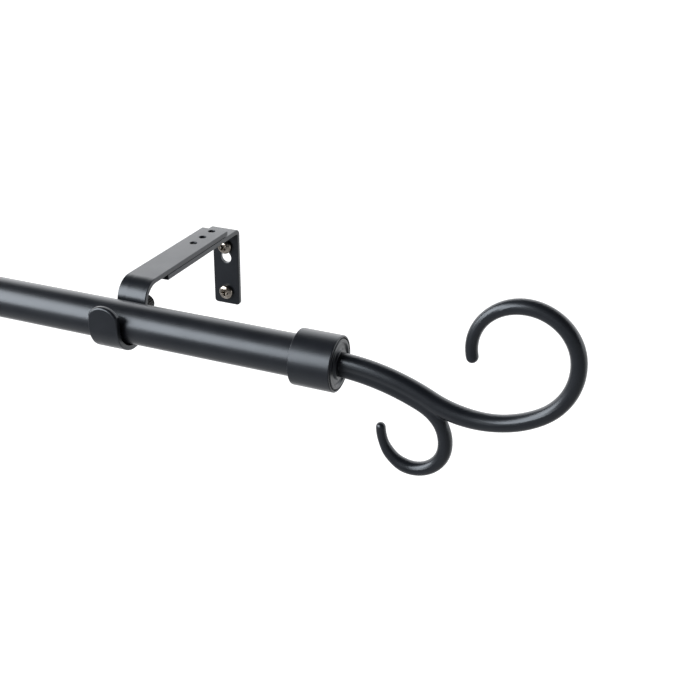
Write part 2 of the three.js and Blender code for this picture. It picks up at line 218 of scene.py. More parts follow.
# %% [markdown]
# ### Screw metals and plastic
#
# The wall screws are nickel plated and shine with a warm tone. The short screws under the
# bracket are zinc plated and duller. The thumb screws are blackened steel. The guide rings
# inside the tubes are a dull moulded plastic. A screw's cross recess gets painted shade: the
# metals read an attribute that is 1 at the bottom of the recess, and go dark there.

# %% Metals and plastic
# Painted shade: the near-black colour that fills a screw's cross recess.
RECESS_SHADE = (0.004, 0.004, 0.004)


def plated_metal(name, dark, light, rough, marks):
    material, tree, shader = new_finish(name)
    stains = noise_of(tree, 420, 4)
    fine = noise_of(tree, 2600, 3)
    # The attribute marks the recess faces, where the plating is darkened to painted shade.
    painted_recess_shade = tree.nodes.new("ShaderNodeAttribute")
    painted_recess_shade.attribute_name = "painted_recess_shade"
    plating = mixed_colour(tree, in_range(tree, stains, 0, 1), dark, light)
    recess_shaded = mixed_colour(tree, in_range(tree, painted_recess_shade.outputs["Fac"], 0, 1, 0, 0.25), plating, RECESS_SHADE)
    tree.links.new(recess_shaded, shader.inputs["Base Color"])
    tree.links.new(in_range(tree, fine, *rough), shader.inputs["Roughness"])
    add_bump(tree, shader, [(stains, 0.2, 0.03), (fine, marks, 0.01)])
    shader.inputs["Metallic"].default_value = 1
    return material


nickel = plated_metal("nickel_plate", (0.17, 0.145, 0.12), (0.40, 0.37, 0.33), (0.10, 0.18), 0.25)
zinc = plated_metal("zinc_plate", (0.20, 0.20, 0.20), (0.36, 0.36, 0.36), (0.34, 0.50), 0.4)
blackened = plated_metal(
    "blackened_steel", (0.006, 0.006, 0.006), (0.016, 0.015, 0.015), (0.34, 0.46), 0.35,
)


def moulded_plastic():
    material, tree, shader = new_finish("guide_plastic")
    grain = noise_of(tree, 900, 3)
    cloud = noise_of(tree, 120, 3)
    share = in_range(tree, cloud, 0, 1)
    colour = mixed_colour(tree, share, (0.012, 0.0125, 0.0135), (0.020, 0.0205, 0.022))
    tree.links.new(colour, shader.inputs["Base Color"])
    tree.links.new(in_range(tree, grain, 0.5, 0.62), shader.inputs["Roughness"])
    add_bump(tree, shader, [(grain, 0.35, 0.02)])
    return material


plastic = moulded_plastic()
print("made", nickel.name, zinc.name, blackened.name, plastic.name)

# %% [markdown]
# ## Helpers for pieces
#
# `settle` turns a finished mesh into a piece: it shrinks it to metres, gives it its material,
# hangs it on the empty of the body that carries it and hides the CAD node it stands for. `soften`
# gives a mesh smooth shading with weighted normals. Large faces then stay flat, and the small
# faces along a rounded edge do the turning, as on bent and turned metal.

# %% Helpers for pieces
def new_object(name, mesh):
    obj = bpy.data.objects.new(name, mesh)
    bpy.context.scene.collection.objects.link(obj)
    return obj


def applied(obj):
    """obj's mesh after its modifiers, with the modifiers removed."""
    graph = bpy.context.evaluated_depsgraph_get()
    mesh = bpy.data.meshes.new_from_object(obj.evaluated_get(graph))
    obj.modifiers.clear()
    if obj.type != "MESH":
        made = new_object(obj.name + "_mesh", mesh)
        bpy.data.objects.remove(obj)
        return made
    obj.data = mesh
    return obj


def close_up(mesh):
    """Merges doubles and turns the faces outwards. Returns how many edges are open."""
    work = bmesh.new()
    work.from_mesh(mesh)
    bmesh.ops.remove_doubles(work, verts=work.verts, dist=1e-4)
    bmesh.ops.recalc_face_normals(work, faces=work.faces)
    is_open = sum(1 for edge in work.edges if len(edge.link_faces) != 2)
    work.to_mesh(mesh)
    work.free()
    return is_open


def soften(obj, sharp=38):
    obj.data.shade_smooth()
    obj.data.set_sharp_from_angle(angle=math.radians(sharp))
    weighted = obj.modifiers.new("weighted", "WEIGHTED_NORMAL")
    weighted.keep_sharp = True
    weighted.weight = 60
    return applied(obj)


bodies = frame["record"]["behaviour"]["bodies"]
carrier_of = {node: name for name, nodes in bodies.items() for node in nodes}


def settle(name, shape, node, material, place=Matrix.Identity(4)):
    mesh = shape.copy()
    mesh.name = name
    mesh.transform(Matrix.Scale(MM, 4) @ place)
    mesh.materials.clear()
    mesh.materials.append(material)
    piece = new_object(name, mesh)
    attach(piece, carrier_of[node])
    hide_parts(node)
    return piece


def settle_pair(ending, shape, node, material, to_left, place=Matrix.Identity(4)):
    """The right piece, and the same shape moved to the left side by to_left."""
    for side, move in (("right", Matrix.Identity(4)), ("left", to_left)):
        settle(f"{side}_{ending}", shape, f"{side}_{node}", material, move @ place)


print("piece helpers ready")

# %% [markdown]
# ## Turned pieces
#
# Tubes, rings, collars and screw heads are all turned shapes: a profile goes once round an axis.
# Blender has a Screw modifier for this. Here the rings are written out instead, because then the
# poles are single points and the mesh is closed from the start. Each profile corner has its own
# rounding radius, as a real edge does.

# %% A turned mesh from a profile with rounded corners
def rounded(corners, steps=5):
    """corners is a list of (x, radius, rounding)."""
    points = []
    for i, (x, r, rounding) in enumerate(corners):
        corner = Vector((x, r))
        if rounding == 0:
            points.append(corner)
            continue
        before = (Vector(corners[i - 1][:2]) - corner).normalized()
        after = (Vector(corners[(i + 1) % len(corners)][:2]) - corner).normalized()
        half = before.angle(after) / 2
        middle = corner + (before + after).normalized() * rounding / math.sin(half)
        first = corner + before * rounding / math.tan(half) - middle
        last = corner + after * rounding / math.tan(half) - middle
        sweep = math.atan2(first.x * last.y - first.y * last.x, first.dot(last))
        for k in range(steps + 1):
            points.append(middle + Matrix.Rotation(sweep * k / steps, 2) @ first)
    return points


def turned(name, points, closed, sides=96):
    """The points are (x, radius) and go round the x axis."""
    verts, rings = [], []
    for x, r in points:
        count = 1 if r < 1e-6 else sides
        rings.append((len(verts), count))
        for k in range(count):
            a = 2 * math.pi * k / sides
            verts.append((x, r * math.cos(a), r * math.sin(a)))
    faces = []
    following = rings[1:] + rings[:1] if closed else rings[1:]
    for (start, count), (after, after_count) in zip(rings, following):
        for k in range(sides):
            n = (k + 1) % sides
            if count == 1 and after_count == 1:
                continue
            if count == 1:
                faces.append((start, after + n, after + k))
            elif after_count == 1:
                faces.append((start + k, start + n, after))
            else:
                faces.append((start + k, start + n, after + n, after + k))
    mesh = bpy.data.meshes.new(name)
    mesh.from_pydata(verts, [], faces)
    left_open = close_up(mesh)
    obj = soften(new_object(name, mesh))
    print(f"{name}: {len(obj.data.polygons)} faces, {left_open} open edges")
    return obj


def turned_ring(name, corners, sides=96):
    return turned(name, rounded(corners), True, sides)


def shape_of(obj):
    """Keeps the mesh and drops the object that carried it."""
    mesh = obj.data
    bpy.data.objects.remove(obj)
    return mesh


print("turning helpers ready")

# %% [markdown]
# ## Bent flat bars
#
# The bracket is made as in the workshop. A flat blank gets its outline and holes first, then it
# is folded. In Blender the blank is a filled 2D curve with a bevel, which rounds its edges and
# the edges of its holes in one go. It is cut across wherever it will bend, and then each point
# is moved along the fold. The blank's length runs along the middle of the sheet, so nothing
# stretches.

# %% A flat blank and its fold
def arc_points(centre, radius, start, end, count):
    return [
        (
            centre[0] + radius * math.cos(math.radians(start + (end - start) * k / count)),
            centre[1] + radius * math.sin(math.radians(start + (end - start) * k / count)),
        )
        for k in range(count + 1)
    ]


def flat_blank(name, loops, thickness, edge):
    """loops are closed lists of (along, across): the outline first, then the holes."""
    curve = bpy.data.curves.new(name, "CURVE")
    curve.dimensions = "2D"
    curve.fill_mode = "BOTH"
    curve.extrude = thickness / 2 - edge
    curve.bevel_depth = edge
    curve.bevel_resolution = 3
    curve.offset = -edge
    for loop in loops:
        spline = curve.splines.new("POLY")
        spline.points.add(len(loop) - 1)
        spline.use_cyclic_u = True
        for point, (along, across) in zip(spline.points, loop):
            point.co = (along, across, 0, 1)
    return applied(new_object(name, curve))


def folded(obj, steps):
    """steps is a list of ("straight", length) and ("bend", radius, degrees).
    Along the bar, x is the distance, and z is out of the sheet's middle. The bar comes out in
    the plane of x and z, starting at the origin along +x. A positive bend turns towards +z."""
    starts, at = [], 0
    place, heading = Vector((0, 0)), 0.0
    for step in steps:
        starts.append((at, place.copy(), heading, step))
        if step[0] == "straight":
            place += step[1] * Vector((math.cos(heading), math.sin(heading)))
            at += step[1]
        else:
            turn = math.radians(step[2])
            side = math.copysign(1, turn)
            middle = place + side * step[1] * Vector((-math.sin(heading), math.cos(heading)))
            place = middle + Matrix.Rotation(turn, 2) @ (place - middle)
            heading += turn
            at += step[1] * abs(turn)

    work = bmesh.new()
    work.from_mesh(obj.data)
    bmesh.ops.remove_doubles(work, verts=work.verts, dist=1e-4)
    for start, _, _, step in starts:
        if step[0] == "bend":
            count = max(8, round(abs(step[2]) / 4))
            length = step[1] * math.radians(abs(step[2]))
            for k in range(count + 1):
                everything = work.verts[:] + work.edges[:] + work.faces[:]
                bmesh.ops.bisect_plane(
                    work, geom=everything, dist=1e-5,
                    plane_co=(start + length * k / count, 0, 0), plane_no=(1, 0, 0),
                )
    for vert in work.verts:
        x, y, z = vert.co
        start, place, heading, step = [s for s in starts if s[0] <= x + 1e-4 or s is starts[0]][-1]
        if step[0] == "straight":
            spot = place + (x - start) * Vector((math.cos(heading), math.sin(heading)))
            out = Vector((-math.sin(heading), math.cos(heading)))
        else:
            side = math.copysign(1, step[2])
            turn = side * (x - start) / step[1]
            middle = place + side * step[1] * Vector((-math.sin(heading), math.cos(heading)))
            spot = middle + Matrix.Rotation(turn, 2) @ (place - middle)
            out = Vector((-math.sin(heading + turn), math.cos(heading + turn)))
        spot += z * out
        vert.co = (spot.x, y, spot.y)
    work.to_mesh(obj.data)
    work.free()
    left_open = close_up(obj.data)
    obj = soften(obj, 40)
    print(f"{obj.name}: {len(obj.data.polygons)} faces, {left_open} open edges")
    return obj


BAR_THICKNESS = 3.2
BAR_EDGE = 0.5
half_width = (plate_high.x - plate_low.x) / 2
print(f"flat bar {2 * half_width:.0f} by {BAR_THICKNESS} mm")

# %% [markdown]
# ### The wall plate
#
# The wall plate is an L. Its upright has a round screw hole near the bottom and a pear-shaped
# one near the top, wide below and narrow above, so the plate can be levelled before its screws
# are tightened. Its leg has one long slot, so the holder can slide in and out. Distances run
# from the plate's bottom edge, up and round the bend.

# %% Wall plate
PLATE_BEND_INSIDE = 1.3
PLATE_CORNER = 2.4
SCREW_HOLE = 2.6
WIDE_HOLE = 4.1
WIDE_HOLE_DROP = 8.5
SLOT = 2.4
LEG_FRONT = 7.5


def screw_height(node):
    low, high = cad_mm(node)
    return (low.z + high.z) / 2 - plate_low.z


def slot_loop(start, end, radius):
    return arc_points((start, 0), radius, 90, 270, 14) + arc_points((end, 0), radius, -90, 90, 14)


def bar_outline(length, first_corner, last_corner):
    w = half_width
    a, b = first_corner, last_corner
    return (
        arc_points((a, -w + a), a, 180, 270, 8)
        + arc_points((length - b, -w + b), b, 270, 360, 8)
        + arc_points((length - b, w - b), b, 0, 90, 8)
        + arc_points((a, w - a), a, 90, 180, 8)
    )


lower_hole = screw_height("right_lower_wall_screw")
upper_hole = screw_height("right_upper_wall_screw")
wide_hole = upper_hole - WIDE_HOLE_DROP
neck_meets = math.degrees(math.asin(SCREW_HOLE / WIDE_HOLE))
pear_loop = (
    arc_points((wide_hole, 0), WIDE_HOLE, neck_meets, 360 - neck_meets, 32)
    + arc_points((upper_hole, 0), SCREW_HOLE, -90, 90, 14)
)
plate_middle = PLATE_BEND_INSIDE + BAR_THICKNESS / 2
upright = plate_high.z - plate_low.z - PLATE_BEND_INSIDE - BAR_THICKNESS
around = plate_middle * math.pi / 2
leg = -plate_low.y - PLATE_BEND_INSIDE - BAR_THICKNESS
rear_screw = cad_mm("right_rear_depth_screw")
rear_screw_y = (rear_screw[0].y + rear_screw[1].y) / 2
slot_front = -plate_low.y - LEG_FRONT - SLOT
plate_loops = [
    bar_outline(upright + around + leg, PLATE_CORNER, 0.6),
    arc_points((lower_hole, 0), SCREW_HOLE, 0, 348.75, 31),
    pear_loop,
    slot_loop(
        upright + around - rear_screw_y - PLATE_BEND_INSIDE - BAR_THICKNESS,
        upright + around + slot_front - PLATE_BEND_INSIDE - BAR_THICKNESS,
        SLOT,
    ),
]
plate_blank = flat_blank("wall_plate_blank", plate_loops, BAR_THICKNESS, BAR_EDGE)
plate_steps = [("straight", upright), ("bend", plate_middle, 90), ("straight", leg)]
plate_shape = folded(plate_blank, plate_steps)
# The bar was folded in x and z: its start goes up the wall and its end goes into the room.
plate_up = Matrix(
    ((0, -1, 0, 0), (0, 0, -1, -BAR_THICKNESS / 2), (1, 0, 0, plate_low.z), (0, 0, 0, 1))
)
plate_shape.data.transform(plate_up)
plate_mesh = shape_of(plate_shape)
settle_pair("wall_plate_bar", plate_mesh, "wall_plate", coat, to_left_bracket)
print(f"wall plates: holes at {lower_hole:.1f}, {wide_hole:.1f} and {upper_hole:.1f} mm up")

# %% [markdown]
# ### The rod holder
#
# The holder lies on the wall plate's leg. Three holes at its rear take the two short screws.
# It bends down behind the rod, goes round under it in a half circle, and ends in a tongue with
# an arched top in front of the rod. Distances run from its rear end.

# %% Rod holder
HOLDER_BEND_OUTSIDE = 14
HOOK_BEHIND = 0.8
HOOK_RADIUS = 14.05
HOOK_RAISE = 1.0
HOLE = 2.4
HOLE_INSET = 5
HOLE_PITCH = 12.7
ARCH = 11.6
TONGUE_OVER_ROD = 3
TONGUE_EDGE = 1.5
EASE_LENGTH = 8
LOCK_HOLE = 2.8

behind = -holder_high.y
strap = rod_y + tube_radius + HOOK_BEHIND + HOLDER_BEND_OUTSIDE
strap_length = -strap - behind
bend_middle = HOLDER_BEND_OUTSIDE - BAR_THICKNESS / 2
hook_middle = HOOK_RADIUS + BAR_THICKNESS / 2
upright_drop = holder_high.z - HOLDER_BEND_OUTSIDE - rod_z - HOOK_RAISE
tongue = tube_radius + TONGUE_OVER_ROD - HOOK_RAISE
holder_steps = [
    ("straight", strap_length),
    ("bend", bend_middle, -90),
    ("straight", upright_drop),
    ("bend", hook_middle, 180),
    ("straight", tongue),
]
bend_length = bend_middle * math.pi / 2
holder_length = strap_length + bend_length + upright_drop + hook_middle * math.pi + tongue
arch_side = math.degrees(math.asin(half_width / ARCH))
arch_centre = holder_length - ARCH
arch_start = arch_centre + ARCH * math.cos(math.radians(arch_side))
# The sides get points near the arch, where the front edge's rounding grows.
near_arch = [arch_start - EASE_LENGTH * (1 - k / 8) for k in range(8)]
holder_outline = (
    arc_points((0.9, -half_width + 0.9), 0.9, 180, 270, 8)
    + [(x, -half_width) for x in near_arch]
    + arc_points((arch_centre, 0), ARCH, -arch_side, arch_side, 32)
    + [(x, half_width) for x in reversed(near_arch)]
    + arc_points((0.9, half_width - 0.9), 0.9, 90, 180, 8)
)


def ease_tongue(blank):
    """Widens the rounding along the front edge of the tongue, which is the sheet's -z side."""
    for vert in blank.data.vertices:
        x, y, z = vert.co
        depth = z + BAR_THICKNESS / 2
        if x < arch_start - EASE_LENGTH or depth > BAR_EDGE + 0.001:
            continue
        share = min(1, (x - arch_start + EASE_LENGTH) / EASE_LENGTH)
        grow = 1 + share * share * (3 - 2 * share) * (TONGUE_EDGE / BAR_EDGE - 1)
        from_side = (half_width - abs(y)) * grow
        from_arch = (ARCH - math.hypot(x - arch_centre, y)) * grow
        across = math.copysign(half_width - from_side, y)
        reach = ARCH - from_arch
        if from_side < from_arch - 0.01:
            vert.co = (x, across, depth * grow - BAR_THICKNESS / 2)
        elif from_arch < from_side - 0.01:
            spot = Vector((x - arch_centre, y)).normalized() * reach
            vert.co = (arch_centre + spot.x, spot.y, depth * grow - BAR_THICKNESS / 2)
        else:
            along = arch_centre + math.sqrt(reach * reach - across * across)
            vert.co = (along, across, depth * grow - BAR_THICKNESS / 2)


lock_hole = strap_length + bend_length + upright_drop + HOOK_RAISE
holder_loops = [holder_outline, arc_points((lock_hole, 0), LOCK_HOLE, 0, 348.75, 31)]
for i in range(3):
    holder_loops.append(arc_points((HOLE_INSET + i * HOLE_PITCH, 0), HOLE, 0, 348.75, 31))
holder_blank = flat_blank("rod_holder_blank", holder_loops, BAR_THICKNESS, BAR_EDGE)
ease_tongue(holder_blank)
holder_shape = folded(holder_blank, holder_steps)
# The bar starts at its rear end and runs into the room.
into_room = Matrix(
    ((0, 1, 0, 0), (-1, 0, 0, -behind), (0, 0, 1, holder_high.z - BAR_THICKNESS / 2), (0, 0, 0, 1))
)
holder_shape.data.transform(into_room)
holder_mesh = shape_of(holder_shape)
settle_pair("rod_holder_bar", holder_mesh, "rod_holder", coat, to_left_bracket)
print(f"rod holders: blank {holder_length:.1f} mm long")

# %% [markdown]
# ## Ridges with Geometry Nodes
#
# A screw thread and the grip on a knob follow the same rule: round the axis and along it, the
# surface rises and falls in a repeating wave. One node tree does both. It reads each point's
# angle and distance, makes a triangle wave, and moves the point towards the axis. One ridge
# round and many along give a thread; many round and none along give a grip.

# %% The ridge tree
def input_named(tree, name, kind):
    return tree.interface.new_socket(name=name, in_out="INPUT", socket_type=kind)


def set_inputs(modifier, values):
    for item in modifier.node_group.interface.items_tree:
        if item.item_type == "SOCKET" and item.in_out == "INPUT" and item.name in values:
            modifier[item.identifier] = values[item.name]


def maths(tree, operation, *values):
    node = tree.nodes.new("ShaderNodeMath")
    node.operation = operation
    for socket, value in zip(node.inputs, values):
        if isinstance(value, (int, float)):
            socket.default_value = value
        else:
            tree.links.new(value, socket)
    return node.outputs[0]


def finish_tree(tree, geometry, material):
    """Realize Instances and Set Material, then the output."""
    realize = tree.nodes.new("GeometryNodeRealizeInstances")
    paint = tree.nodes.new("GeometryNodeSetMaterial")
    tree.links.new(geometry, realize.inputs["Geometry"])
    tree.links.new(realize.outputs["Geometry"], paint.inputs["Geometry"])
    tree.links.new(material, paint.inputs["Material"])
    tree.links.new(paint.outputs["Geometry"], tree.nodes["Group Output"].inputs[0])


def new_tree(name, inputs):
    tree = bpy.data.node_groups.new(name, "GeometryNodeTree")
    tree.interface.new_socket(name="Geometry", in_out="OUTPUT", socket_type="NodeSocketGeometry")
    input_named(tree, "Geometry", "NodeSocketGeometry")
    for label, kind in inputs:
        input_named(tree, label, kind)
    tree.nodes.new("NodeGroupOutput").name = "Group Output"
    given = tree.nodes.new("NodeGroupInput").outputs
    return tree, given


def make_ridge_tree():
    sizes = ["Ridges round", "Ridges per mm", "Start", "End", "Fade", "Depth share"]
    inputs = [(name, "NodeSocketFloat") for name in sizes] + [("Material", "NodeSocketMaterial")]
    tree, given = new_tree("ridges_round_an_axis", inputs)
    split = tree.nodes.new("ShaderNodeSeparateXYZ")
    tree.links.new(tree.nodes.new("GeometryNodeInputPosition").outputs[0], split.inputs[0])
    x, y, z = split.outputs
    turns = maths(tree, "DIVIDE", maths(tree, "ARCTAN2", z, y), 2 * math.pi)
    along = maths(tree, "MULTIPLY", x, given["Ridges per mm"])
    phase = maths(tree, "SUBTRACT", along, maths(tree, "MULTIPLY", turns, given["Ridges round"]))
    wave = maths(tree, "MULTIPLY", maths(tree, "PINGPONG", maths(tree, "FRACT", phase), 0.5), 2)
    fade_in = maths(tree, "DIVIDE", maths(tree, "SUBTRACT", x, given["Start"]), given["Fade"])
    fade_out = maths(tree, "DIVIDE", maths(tree, "SUBTRACT", given["End"], x), given["Fade"])
    mask = maths(tree, "MINIMUM", maths(tree, "MINIMUM", fade_in, fade_out), 1)
    mask = maths(tree, "MAXIMUM", mask, 0)
    groove = maths(tree, "MULTIPLY", maths(tree, "SUBTRACT", 1, wave), mask)
    keep = maths(tree, "SUBTRACT", 1, maths(tree, "MULTIPLY", groove, given["Depth share"]))
    joined = tree.nodes.new("ShaderNodeCombineXYZ")
    moved = (x, maths(tree, "MULTIPLY", y, keep), maths(tree, "MULTIPLY", z, keep))
    for socket, value in zip(joined.inputs, moved):
        tree.links.new(value, socket)
    move = tree.nodes.new("GeometryNodeSetPosition")
    tree.links.new(given["Geometry"], move.inputs["Geometry"])
    tree.links.new(joined.outputs[0], move.inputs["Position"])
    finish_tree(tree, move.outputs["Geometry"], given["Material"])
    return tree


ridge_tree = make_ridge_tree()


def with_ridges(obj, material, round_count, per_mm, start, end, fade, share):
    modifier = obj.modifiers.new("ridges", "NODES")
    modifier.node_group = ridge_tree
    set_inputs(modifier, {
        "Ridges round": float(round_count), "Ridges per mm": float(per_mm), "Start": float(start),
        "End": float(end), "Fade": float(fade), "Depth share": float(share), "Material": material,
    })
    return applied(obj)


print("ridge tree:", len(ridge_tree.nodes), "nodes")

# %% [markdown]
# ## Screws
#
# A pan head is a low dome with straight sides. Its cross recess is cut with two tapered blades,
# by a Boolean, because a driver's slot has flat, leaning walls. The shank has a ring of points
# every eighth of a turn of the thread, so the ridge tree has something to move.

# %% Pan-head screws with a cross recess and a thread
def recess_cutter(name, top, depth, span, width):
    """Two crossed blades that narrow as they go down along +x."""
    verts, faces = [], []
    for turn in (0, 1):
        base = len(verts)
        mouth = (top - 1, span / 2 + 0.35, width / 2 + 0.12)
        bottom = (top + depth, span / 4, width / 3)
        for x, reach, half in (mouth, bottom):
            for a, b in ((-1, -1), (1, -1), (1, 1), (-1, 1)):
                u, v = a * reach, b * half
                verts.append((x, u, v) if turn == 0 else (x, v * 0.999, u))
        quads = ((0, 1, 2, 3), (4, 7, 6, 5), (0, 4, 5, 1), (1, 5, 6, 2), (2, 6, 7, 3), (3, 7, 4, 0))
        faces += [tuple(base + i for i in quad) for quad in quads]
    mesh = bpy.data.meshes.new(name)
    mesh.from_pydata(verts, [], faces)
    close_up(mesh)
    # Every face of the cutter carries painted shade, so the recess that it cuts goes dark.
    painted_recess_shade = mesh.attributes.new("painted_recess_shade", "FLOAT", "POINT")
    for item in painted_recess_shade.data:
        item.value = 1
    return new_object(name, mesh)


THREAD_DEPTH = 0.45


def pan_screw(name, material, head, shank, point, pitch, recess):
    """The head's underside is at x = 0, and the shank runs along +x. head is its radius and
    height, shank its radius and length, recess its depth, span and width."""
    head_radius, head_height = head
    shank_radius, shank_length = shank
    side = head_height * 0.3
    dome = head_height - side
    points = [(-head_height, 0.0)]
    for k in range(1, 15):
        a = math.radians(90 * k / 14)
        points.append((-side - dome * math.cos(a) ** 0.9, head_radius * math.sin(a) ** 0.8))
    points += [(-0.3, head_radius), (-0.08, head_radius - 0.08), (0, head_radius - 0.3)]
    points += [(0, shank_radius + 0.25), (0.25, shank_radius)]
    step = pitch / 8
    count = round((shank_length - point - 0.4) / step)
    points += [(0.4 + k * step, shank_radius) for k in range(count)]
    tip = 0.12 if point > 1 else shank_radius - THREAD_DEPTH
    for k in range(1, 25):
        share = k / 24
        x = shank_length - point + point * share
        points.append((x, shank_radius + (tip - shank_radius) * share))
    points.append((shank_length, 0.0))
    obj = turned(name, points, False, 48)
    # The screw's own faces start with no painted shade; the recess faces get it from the cutter.
    obj.data.attributes.new("painted_recess_shade", "FLOAT", "POINT")
    depth, span, width = recess
    cutter = recess_cutter(name + "_recess", -head_height, depth, span, width)
    # The two blades cross, so the Boolean also resolves the cutter's own overlap.
    boolean = obj.modifiers.new("recess", "BOOLEAN")
    boolean.operation = "DIFFERENCE"
    boolean.solver = "EXACT"
    boolean.use_self = True
    boolean.object = cutter
    obj = applied(obj)
    shape_of(cutter)
    thread_end = shank_length + 2 * pitch
    obj = with_ridges(
        obj, material, 1, 1 / pitch, 1.2, thread_end, pitch, THREAD_DEPTH / shank_radius
    )
    return shape_of(soften(obj, 32))


def along_y(x, y, z):
    return Matrix.Translation((x, y, z)) @ Matrix.Rotation(math.pi / 2, 4, "Z")


def middle_of(node):
    low, high = cad_mm(node)
    return (low + high) / 2, low, high


print("screw helpers ready")

# %% [markdown]
# ### Wall screws
#
# Four long wood screws hold the plates. Only their heads show from the front, but the lesson
# makes the whole screw: from behind, the threads and points stand out of the plate.

# %% Wall screws
WALL_HEAD_HEIGHT = 3.6
WALL_HEAD_RADIUS = 5.2
WALL_SHANK_RADIUS = 2.1
WALL_SCREW_TURNS = {"upper": 0.62, "lower": 0.12}
_, wall_low, wall_high = middle_of("right_lower_wall_screw")
wall_shank = (WALL_SHANK_RADIUS, wall_high.y - wall_low.y - WALL_HEAD_HEIGHT)
wall_screw = pan_screw(
    "wall_screw", nickel, (WALL_HEAD_RADIUS, WALL_HEAD_HEIGHT), wall_shank, 7, 1.9, (2.2, 5.6, 1.5),
)
for side in ("right", "left"):
    for level in ("upper", "lower"):
        centre, low, _ = middle_of(f"{side}_{level}_wall_screw")
        turn = Matrix.Rotation(WALL_SCREW_TURNS[level], 4, "X")
        settle(
            f"{side}_{level}_wall_screw_nickel", wall_screw, f"{side}_{level}_wall_screw", nickel,
            along_y(centre.x, low.y + WALL_HEAD_HEIGHT, centre.z) @ turn,
        )
print("wall screws: 4")

# %% [markdown]
# ### Depth screws
#
# Two short machine screws on each bracket come up through the leg's slot and into the holder's
# threaded holes. Their ends are seen in the front and rear holes from above.

# %% Depth screws
DEPTH_HEAD_HEIGHT = 2.5
DEPTH_SHANK_RADIUS = 2.1
DEPTH_SCREW_TURN = 0.4
_, depth_low, depth_high = middle_of("right_front_depth_screw")
depth_head = ((depth_high.x - depth_low.x) / 2, DEPTH_HEAD_HEIGHT)
depth_shank = (DEPTH_SHANK_RADIUS, depth_high.z - depth_low.z - DEPTH_HEAD_HEIGHT)
depth_screw = pan_screw("depth_screw", zinc, depth_head, depth_shank, 0.4, 0.7, (1.3, 4.0, 0.9))
for side in ("right", "left"):
    for order in ("front", "rear"):
        centre, low, _ = middle_of(f"{side}_{order}_depth_screw")
        upwards = (
            Matrix.Translation((centre.x, centre.y, low.z + DEPTH_HEAD_HEIGHT))
            @ Matrix.Rotation(-math.pi / 2, 4, "Y")
            @ Matrix.Rotation(DEPTH_SCREW_TURN, 4, "X")
        )
        settle(
            f"{side}_{order}_depth_screw_zinc", depth_screw, f"{side}_{order}_depth_screw", zinc,
            upwards,
        )
print("depth screws: 4")

# %% [markdown]
# ### Lock screws
#
# A blackened thumb screw goes through the back of each hook and presses on the tube. Its knob
# has a ring of grip ridges, made with the same tree as the threads. The knob is turned with
# many rings along its grip, so the ridges can fade out before its rounded ends.

# %% Lock screws
LOCK_RADIUS = 2.5
KNOB_RADIUS = 5.2
KNOB_START = 11.7
GRIP_RIDGES = 22
_, lock_low, lock_high = middle_of("right_lock_screw")
lock_length = lock_high.y - lock_low.y
lock_pitch = 0.8
ring_step = lock_pitch / 8
ring_count = round((KNOB_START - 1) / ring_step)
shank_rings = [(0.5 + k * ring_step, LOCK_RADIUS) for k in range(ring_count)]
grip_rings = [
    (KNOB_START + 0.9 + k * (lock_length - KNOB_START - 1.9) / 20, KNOB_RADIUS) for k in range(21)
]
knob_profile = (
    [(0, 0.0), (0, LOCK_RADIUS - 0.5), (0.2, LOCK_RADIUS - 0.2)] + shank_rings
    + [(KNOB_START - 0.3, LOCK_RADIUS), (KNOB_START - 0.05, LOCK_RADIUS + 0.3)]
    + [(KNOB_START, LOCK_RADIUS + 0.5), (KNOB_START, KNOB_RADIUS - 1.0)]
    + [(KNOB_START + 0.15, KNOB_RADIUS - 0.5), (KNOB_START + 0.5, KNOB_RADIUS - 0.1)]
    + grip_rings
    + [(lock_length - 0.55, KNOB_RADIUS - 0.1), (lock_length - 0.15, KNOB_RADIUS - 0.5)]
    + [(lock_length, KNOB_RADIUS - 1.0), (lock_length, 2.2)]
    + [(lock_length - 0.5, 1.6), (lock_length - 0.5, 0.0)]
)
knob = turned("lock_screw", knob_profile, False, 176)
knob = with_ridges(
    knob, blackened, 1, 1 / lock_pitch, 0.4, KNOB_START - 1.2, 0.6, 0.4 / LOCK_RADIUS
)
knob = with_ridges(
    knob, blackened, GRIP_RIDGES, 0, KNOB_START + 0.5, lock_length - 0.5, 0.7, 0.5 / KNOB_RADIUS
)
lock_screw = shape_of(soften(knob, 50))
for side in ("right", "left"):
    centre, low, _ = middle_of(f"{side}_lock_screw")
    settle(
        f"{side}_lock_screw_knob", lock_screw, f"{side}_lock_screw", blackened,
        along_y(centre.x, low.y, centre.z),
    )
print(f"lock screws: {lock_length:.1f} mm long, {GRIP_RIDGES} grip ridges")

# %% [markdown]
# ## The rod
#
# The rod is two thin-walled tubes. The thin one slides in the thick one, guided by a plastic
# ring in the thick tube's mouth and a plug on its own hidden end. All four are turned rings with
# small rounded edges. The walls are as thin as the real ones, so the open ends look right when
# a finial is pulled off.

# %% Tubes, mouth ring and slide plug
TUBE_WALL = 0.7
for node, radius in (("outer_tube", tube_radius), ("inner_tube", thin_radius)):
    low, high = cad_mm(node)
    inside = radius - TUBE_WALL
    tube = turned_ring(
        node + "_steel",
        [(low.x, inside, 0.12), (low.x, radius, 0.25), (high.x, radius, 0.25), (high.x, inside, 0.12)],
        128,
    )
    settle(node + "_steel_tube", shape_of(tube), node, coat, on_rod)

ring_low, ring_high = cad_mm("mouth_ring")
guide = thin_radius + 0.15
sleeve = tube_radius - TUBE_WALL - 0.15
lip_end = tube_low.x - 0.3
mouth = turned_ring(
    "mouth_ring_shape",
    [
        (ring_low.x, guide, 0.3), (ring_low.x, tube_radius, 0.5), (lip_end, tube_radius, 0.2),
        (lip_end, sleeve, 0.05), (ring_high.x, sleeve, 0.3), (ring_high.x, guide, 0.2),
    ],
)
settle("mouth_ring_plastic", shape_of(mouth), "mouth_ring", plastic, on_rod)

